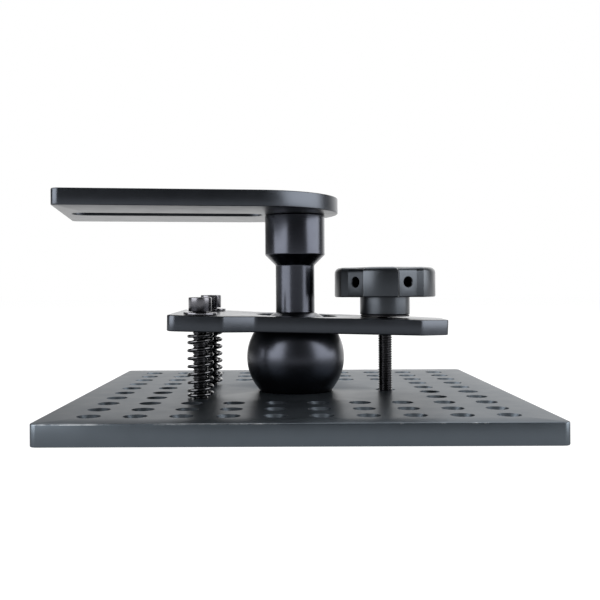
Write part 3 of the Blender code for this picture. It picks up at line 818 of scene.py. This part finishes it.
class HEAD_OT_clamp(bpy.types.Operator):
    """Model the clamp plate with its bore and clearance holes"""
    bl_idname = "head.clamp"
    bl_label = "Clamp plate"

    def execute(self, context):
        clamp = settings("clamp")
        edge = settings("plate").rim
        low, high = clamp_span()
        half = (high - low) / 2
        mid = (high + low) / 2
        frame_turn = clamp_turn()

        def local(x, y):
            return frame_turn.transposed() @ (clamp_height(mid, x, y) - HINGE)

        bore = frame_turn.transposed() @ (Vector((0, 0, BALL_Z)) - HINGE)
        bore_r = (BALL_R + settings("plate").fit) * sin(clamp.seat)
        stud = local(KNOB_X, 0)
        lobe = PIVOTS["rear"].y + clamp.lobe
        waist = bore_r + clamp.wall
        upper = [(stud.x + clamp.nose, clamp.tip_half), (stud.x + clamp.shoulder, clamp.nose_half),
                 (clamp.waist_reach, waist), (clamp.lobe_reach, lobe), (-clamp.lobe_end, lobe)]
        bm = slab(upper + [(x, -y) for x, y in reversed(upper)], -half, half)
        bevel(bm, [e for e in upright(bm) if e.verts[0].co.x < -clamp.lobe_end + LEVEL],
              clamp.lobe_corner, 8)
        bevel(bm, [e for e in upright(bm) if e.verts[0].co.x > clamp.lobe_reach - LEVEL],
              clamp.corner, 5)
        bevel(bm, rim(bm, -half) + rim(bm, half), edge, 3)
        open_face(bm, -half)
        open_face(bm, half)

        cut = clamp.seat_chamfer
        turned(bm, [(bore_r + cut, -half), (bore_r, cut - half), (bore_r, half - edge),
                    (bore_r + edge / 3, half - edge / 3), (bore_r + edge, half)], ROUND_WIDE,
               place=Matrix.Translation((bore.x, bore.y, 0)))
        for x, y in [(p.x, p.y) for p in PIVOTS.values()] + [(KNOB_X, 0)]:
            at = local(x, y)
            turned(bm, [(clamp.clear + edge / 2, -half), (clamp.clear, edge / 2 - half),
                        (clamp.clear, half - edge / 2), (clamp.clear + edge / 2, half)],
                   ROUND_HOLE, place=Matrix.Translation((at.x, at.y, 0)))
        close_face(bm, half)
        close_face(bm, -half)
        place = Matrix.Translation(HINGE) @ frame_turn.to_4x4()
        piece("clamp_bar", bm, "black anodised satin", "clamp",
              ["clamp_plate"], place=place)
        return {"FINISHED"}


class HEAD_OT_screws(bpy.types.Operator):
    """Model the two knurled cap screws with real threads, and their washers"""
    bl_idname = "head.screws"
    bl_label = "Spring screws"

    head_h: size("Head height", "Height of a cap screw's head", 0.0089)
    washer_t: size("Washer", "Thickness of a spring screw's washer", 0.0014)
    washer_bore: size("Washer bore", "Radius of a washer's hole", 0.0051)

    def head(self, bm, under, top, radius):
        screws = settings("screws")
        steps = 2 * screws.ridges
        plain = radius - screws.ridge
        rings = [(under, plain - screws.edge / 4, 0), (under + screws.edge / 4, plain, 1),
                 (top - screws.knurl_top, plain, 1), (top - screws.edge, plain, 0)]
        for turn in quarter(4)[1:]:
            rings.append((top - screws.edge * (1 - sin(turn)),
                          plain - screws.edge * (1 - cos(turn)), 0))
        loops = []
        for height, r, knurled in rings:
            verts = circle(bm, r, steps, Matrix.Translation((0, 0, height)))
            if knurled:
                for v in verts[::2]:
                    v.co.xy *= radius / r
            loops.append([e for e in bm.edges if e.verts[0] in verts and e.verts[1] in verts])
        for one, two in zip(loops, loops[1:]):
            bmesh.ops.bridge_loops(bm, edges=one + two)

    def execute(self, context):
        screws = settings("screws")
        thread = settings("thread")
        turn = clamp_turn()
        high = clamp_span()[1]
        for name, at in PIVOTS.items():
            low_corner, high_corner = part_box("pivot_screw_" + name)
            radius = (high_corner.x - low_corner.x) / 2
            top = high_corner.z
            under = top - self.head_h
            bm = bmesh.new()
            helix(bm, low_corner.z, under, 0, thread.root)
            close_face(bm, low_corner.z)
            self.head(bm, under, top, radius)
            close_face(bm, under)
            socket(bm, screws.hex, top, screws.hex_depth, screws.hex_turn)
            close_face(bm, top)
            piece("cap_screw_" + name, bm, "black oxide steel", "base",
                  ["pivot_screw_" + name], sharp=50, place=Matrix.Translation((at.x, at.y, 0)))

            washer_low, washer_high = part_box("pivot_washer_" + name)
            outer = (washer_high.y - washer_low.y) / 2
            bm = washer(self.washer_bore, outer, 0, self.washer_t, ROUND_WASHER)
            gap = Vector((0, 0, settings("plate").fit))
            base = clamp_height(high, at.x, at.y) + turn @ gap
            piece("flat_washer_" + name, bm, "black oxide steel", "clamp",
                  ["pivot_washer_" + name], place=Matrix.Translation(base) @ turn.to_4x4())
        return {"FINISHED"}


class HEAD_OT_springs(bpy.types.Operator):
    """Wind the two compression springs"""
    bl_idname = "head.springs"
    bl_label = "Springs"

    sides: count("Sides", "Flats round the wire", 14)
    steps: count("Steps", "Steps in one turn", 40)

    def execute(self, context):
        screws = settings("screws")
        wire = screws.wire / 2
        end_pitch = screws.wire + screws.end_space
        for name, at in PIVOTS.items():
            low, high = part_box("spring_" + name)
            coil = (high.x - low.x) / 2 - wire
            height = high.z - low.z - 2 * wire
            open_turns = (height - 2 * end_pitch) / screws.coil_pitch
            bm = bmesh.new()
            place = Matrix.Translation((coil, 0, low.z + wire)) @ Matrix.Rotation(pi / 2, 4, "X")
            geom = list(circle(bm, wire, self.sides, place)) + list(bm.edges)
            coils = ((1, end_pitch), (open_turns, screws.coil_pitch), (1, end_pitch))
            for turns, pitch in coils:
                steps = ceil(turns * self.steps)
                geom = wound(bm, geom, turns, pitch * turns / steps, steps)
            ends = [e for e in bm.edges if len(e.link_faces) < 2]
            bmesh.ops.holes_fill(bm, edges=ends, sides=self.sides)
            place = Matrix.Translation((at.x, at.y, 0)) @ Matrix.Rotation(screws.start, 4, "Z")
            piece("coil_spring_" + name, bm, "blackened spring wire", "base",
                  ["spring_" + name], sharp=50, place=place)
        return {"FINISHED"}


class HEAD_OT_knob(bpy.types.Operator):
    """Model the star knob, its washer, the threaded stud and the grub screw"""
    bl_idname = "head.knob"
    bl_label = "Knob and stud"

    washer_bore: size("Washer bore", "Radius of the knob washer's hole", 0.0051)
    hub_edge: size("Hub edge", "Round of the hub's lower edge", 0.0008)

    def ring(self, bm, knob, inset, height):
        """The knob's outline at a height, moved inward: valleys with a flat floor and walls at
        45 degrees, and round lobes between them."""
        floor = knob.radius - knob.depth
        radius = knob.radius - inset
        wall = floor - knob.floor / 2 - sqrt(2) * inset
        across = (sqrt(2 * radius ** 2 - wall ** 2) - wall) / 2
        mouth = asin(across / radius)
        half = knob.floor / 2 + (sqrt(2) - 1) * inset
        points = []
        for k in range(knob.lobes):
            centre = knob.start + 2 * pi * k / knob.lobes
            turn = Matrix.Rotation(centre, 2)
            points += [turn @ Vector((floor - inset, side * half)) for side in (-1, 1)]
            after = centre + 2 * pi / knob.lobes
            points += arc((0, 0), radius, centre + mouth, after - mouth, LOBE_STEPS)
        return [bm.verts.new((x, y, height)) for x, y in points]

    def execute(self, context):
        knob = settings("knob")
        thread = settings("thread")
        high = KNOB_HIGH.z
        low = high - knob.height
        hub_low = KNOB_LOW.z
        bm = bmesh.new()
        edge, top = knob.low_edge, knob.top_round
        levels = [(edge * (1 - sin(turn)), low + edge * (1 - cos(turn))) for turn in quarter(3)]
        levels += [(top * (1 - cos(turn)), high - top * (1 - sin(turn))) for turn in quarter(8)]
        rings = [self.ring(bm, knob, inset, height) for inset, height in levels]
        for one, two in zip(rings, rings[1:]):
            for i in range(len(one)):
                bm.faces.new((one[i - 1], one[i], two[i], two[i - 1]))
        bore = thread.crest + thread.play
        hub = [(knob.hub, low), (knob.hub, hub_low), (bore, hub_low), (bore, high),
               (bore + self.hub_edge, high)]
        turned(bm, softened(hub, self.hub_edge, 4, (1, 2)), ROUND)
        close_face(bm, high)
        close_face(bm, low)

        # A hole for a bar in the flat floor of each valley
        middle = (low + high) / 2
        floor = knob.radius - knob.depth
        mouth = knob.bar_mouth
        for k in range(knob.lobes):
            centre = knob.start + 2 * pi * k / knob.lobes
            out = Vector((cos(centre), sin(centre), 0))
            flat = [f for f in bm.faces if f.normal.dot(out) ** 2 > FACING
                    and abs(f.calc_center_median().dot(out) - floor) < LEVEL]
            bmesh.ops.delete(bm, geom=flat, context="FACES_ONLY")
            inner = bore if k == knob.grub_valley else knob.bar_reach
            turn = Euler((0, pi / 2, centre)).to_matrix().to_4x4()
            profile = [(mouth, floor), (knob.bar_hole, floor - (mouth - knob.bar_hole)),
                       (knob.bar_hole, inner), (0, inner)]
            turned(bm, profile, ROUND_GRUB, place=Matrix.Translation((0, 0, middle)) @ turn)
            weld(bm, bm.verts)
            edges = [e for e in bm.edges if len(e.link_faces) < 2
                     and all(abs(v.co.dot(out) - floor) < LEVEL for v in e.verts)]
            fill(bm, edges, turn.inverted())
        place = Matrix.Translation((KNOB_X, 0, 0))
        piece("star_knob", bm, "black anodised knob", "knob", ["knob"],
              place=place)

        stud_low, stud_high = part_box("knob_stud")
        bm = bmesh.new()
        helix(bm, stud_low.z, stud_high.z, 0, thread.root)
        close_face(bm, stud_low.z)
        close_face(bm, stud_high.z)
        piece("threaded_stud", bm, "black oxide steel", "knob", ["knob_stud"],
              place=place)

        washer_low, washer_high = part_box("knob_washer")
        outer = (washer_high.x - washer_low.x) / 2
        bm = washer(self.washer_bore, outer, washer_low.z, washer_high.z, ROUND)
        piece("thrust_washer", bm, "dry black oxide steel", "knob_washer",
              ["knob_washer"], place=place)

        screws = settings("screws")
        fit = settings("plate").fit
        radius = knob.bar_hole - fit
        inner = bore + fit
        outer = inner + screws.grub
        centre = knob.start + 2 * pi * knob.grub_valley / knob.lobes
        turn = Euler((0, pi / 2, centre)).to_matrix().to_4x4()
        bm = bmesh.new()
        shank = softened([(0, inner), (radius, inner), (radius, outer)], fit, 2, (1,))
        turned(bm, shank, ROUND_GRUB)
        socket(bm, screws.grub_hex, outer, screws.grub_hex)
        close_face(bm, outer)
        piece("grub_screw", bm, "black oxide steel", "knob",
              ["knob_grub_screw"], place=Matrix.Translation((KNOB_X, 0, middle)) @ turn)
        return {"FINISHED"}


class HEAD_OT_stage(bpy.types.Operator):
    """Set the white floor and background, the soft lights and the camera"""
    bl_idname = "head.stage"
    bl_label = "Stage"

    eye: FloatVectorProperty(name="Eye", description="Where the camera stands", unit="LENGTH",
                             default=(-0.00673, -0.55397, 0.07999), precision=5)
    yaw: angle("Yaw", "Turn of the camera to the left", 0.55)
    roll: angle("Roll", "Roll of the camera", 0.32)
    focal: amount("Focal length", "In millimetres, on the sensor", 49.53)
    sensor: amount("Sensor", "Width of the sensor in millimetres", 36)
    shift_x: amount("Shift X", "Framing to the side", 0.038)
    shift_y: amount("Shift Y", "Framing up and down", -0.019)
    floor_side: size("Floor", "Side of the floor", 12)
    lift: amount("Lift", "Share of the floor's white that no shadow dims", 0.86)
    glow: amount("Glow", "Strength of the floor's own white", 1.12)
    room: amount("Room", "Strength of the room's light", 0.2)
    wall: amount("Wall", "Strength of the wall behind in reflections", 1.7)
    wall_turn: angle("Wall turn", "How far the wall's middle stands to the right", 15)
    wall_end: amount("Wall end", "Cosine from the wall's middle where its light ends", 0.72)
    wall_full: amount("Wall full", "Cosine from the wall's middle where its light is full", 0.93)
    aim: size("Aim", "Height that the soft lights face", 0.08)

    def floor(self):
        """A matt white floor. Where the camera or a reflection looks, it is lifted to the
        background's white and keeps a part of the shadow."""
        bm = bmesh.new()
        bmesh.ops.create_grid(bm, x_segments=1, y_segments=1, size=self.floor_side / 2)
        obj = put("studio_floor", as_mesh(bm, "studio_floor"))
        looks = settings("looks")
        mat = bpy.data.materials.new("white paper")
        tree = blank_tree(mat)
        paper = add(tree, "BsdfDiffuse", {"Color": tuple(looks.paper)})
        white = add(tree, "Emission", {"Color": tuple(looks.wall), "Strength": self.glow})
        share = add(tree, "Math", {0: self.seen_ray(tree), 1: self.lift}, operation="MULTIPLY")
        mix = add(tree, "MixShader", {0: share.outputs[0], 1: paper.outputs[0],
                                      2: white.outputs[0]})
        add(tree, "OutputMaterial", {"Surface": mix.outputs[0]})
        obj.data.materials.append(mat)

    def seen_ray(self, tree):
        """1 for camera, glossy and transmission rays."""
        path = add(tree, "LightPath").outputs
        one = add(tree, "Math", {0: path["Is Camera Ray"], 1: path["Is Glossy Ray"]},
                  operation="MAXIMUM")
        two = add(tree, "Math", {0: one.outputs[0], 1: path["Is Transmission Ray"]},
                  operation="MAXIMUM")
        return two.outputs[0]

    def world(self):
        """White for the camera. Metal sees a white wall behind the object and a dim room
        elsewhere, with the same dim room as fill light."""
        world = bpy.data.worlds.new("studio")
        bpy.context.scene.world = world
        tree = blank_tree(world)
        seen = add(tree, "LightPath").outputs["Is Camera Ray"]
        way = add(tree, "TexCoord").outputs["Generated"]
        middle = (sin(self.wall_turn), cos(self.wall_turn), 0)
        ahead = add(tree, "VectorMath", {0: way, 1: middle}, operation="DOT_PRODUCT")
        behind = add(tree, "MapRange", {"Value": ahead.outputs["Value"],
                                        "From Min": self.wall_end, "From Max": self.wall_full,
                                        "To Min": self.room, "To Max": self.wall},
                     interpolation_type="SMOOTHSTEP")
        strength = add(tree, "Mix", {"Factor": seen, VALUE_A: behind.outputs["Result"],
                                     VALUE_B: 1.0}, data_type="FLOAT")
        glow = add(tree, "Background", {"Color": (1, 1, 1, 1), "Strength": strength.outputs[0]})
        add(tree, "OutputWorld", {"Surface": glow.outputs[0]})

    def softbox(self, name, azimuth, distance, height, width, tall, watts):
        """A soft area light that faces the object, at an azimuth in degrees from the camera's
        side."""
        lamp = bpy.data.lights.new(name, "AREA")
        lamp.shape = "RECTANGLE"
        lamp.size = width
        lamp.size_y = tall
        lamp.energy = watts
        obj = put(name, lamp)
        turn = radians(azimuth)
        obj.location = (distance * sin(turn), -distance * cos(turn), height)
        aim = Vector((0, 0, self.aim)) - obj.location
        obj.rotation_euler = aim.to_track_quat("-Z", "Y").to_euler()

    def execute(self, context):
        self.floor()
        self.world()
        self.softbox("left_softbox", azimuth=-58, distance=1.1, height=0.30, width=1.2,
                     tall=1.0, watts=28)
        self.softbox("right_softbox", azimuth=75, distance=1.1, height=0.36, width=1.25,
                     tall=1.0, watts=27)
        self.softbox("top_softbox", azimuth=180, distance=0.75, height=1.5, width=2.2,
                     tall=1.6, watts=40)

        data = bpy.data.cameras.new("photo_camera")
        data.sensor_width = self.sensor
        data.lens = self.focal
        data.shift_x = self.shift_x
        data.shift_y = self.shift_y
        camera = put("photo_camera", data)
        turn = (Matrix.Rotation(self.yaw, 3, "Z") @ Matrix.Rotation(self.roll, 3, "Y")
                @ Matrix.Rotation(pi / 2, 3, "X"))
        camera.matrix_world = Matrix.Translation(self.eye) @ turn.to_4x4()
        context.scene.camera = camera
        context.scene.view_settings.view_transform = "Standard"
        return {"FINISHED"}


STEPS = (HEAD_OT_base_plate, HEAD_OT_ball, HEAD_OT_stem, HEAD_OT_arm, HEAD_OT_clamp,
         HEAD_OT_screws, HEAD_OT_springs, HEAD_OT_knob, HEAD_OT_stage)


class HEAD_PT_panel(bpy.types.Panel):
    """Lists the steps that build the levelling head"""
    bl_label = "Levelling head"
    bl_space_type = "VIEW_3D"
    bl_region_type = "UI"
    bl_category = "Levelling head"

    def draw(self, context):
        for step in STEPS:
            self.layout.operator(step.bl_idname)


def register():
    for group in GROUPS.values():
        bpy.utils.register_class(group)
    for name, group in GROUPS.items():
        setattr(bpy.types.Scene, "head_" + name, PointerProperty(type=group))
    for cls in STEPS:
        bpy.utils.register_class(cls)
    bpy.utils.register_class(HEAD_PT_panel)


def unregister():
    bpy.utils.unregister_class(HEAD_PT_panel)
    for cls in reversed(STEPS):
        bpy.utils.unregister_class(cls)
    for name in GROUPS:
        delattr(bpy.types.Scene, "head_" + name)
    for group in GROUPS.values():
        bpy.utils.unregister_class(group)


def main():
    register()
    for step in STEPS:
        group, name = step.bl_idname.split(".")
        getattr(getattr(bpy.ops, group), name)()


if __name__ == "__main__":
    main()
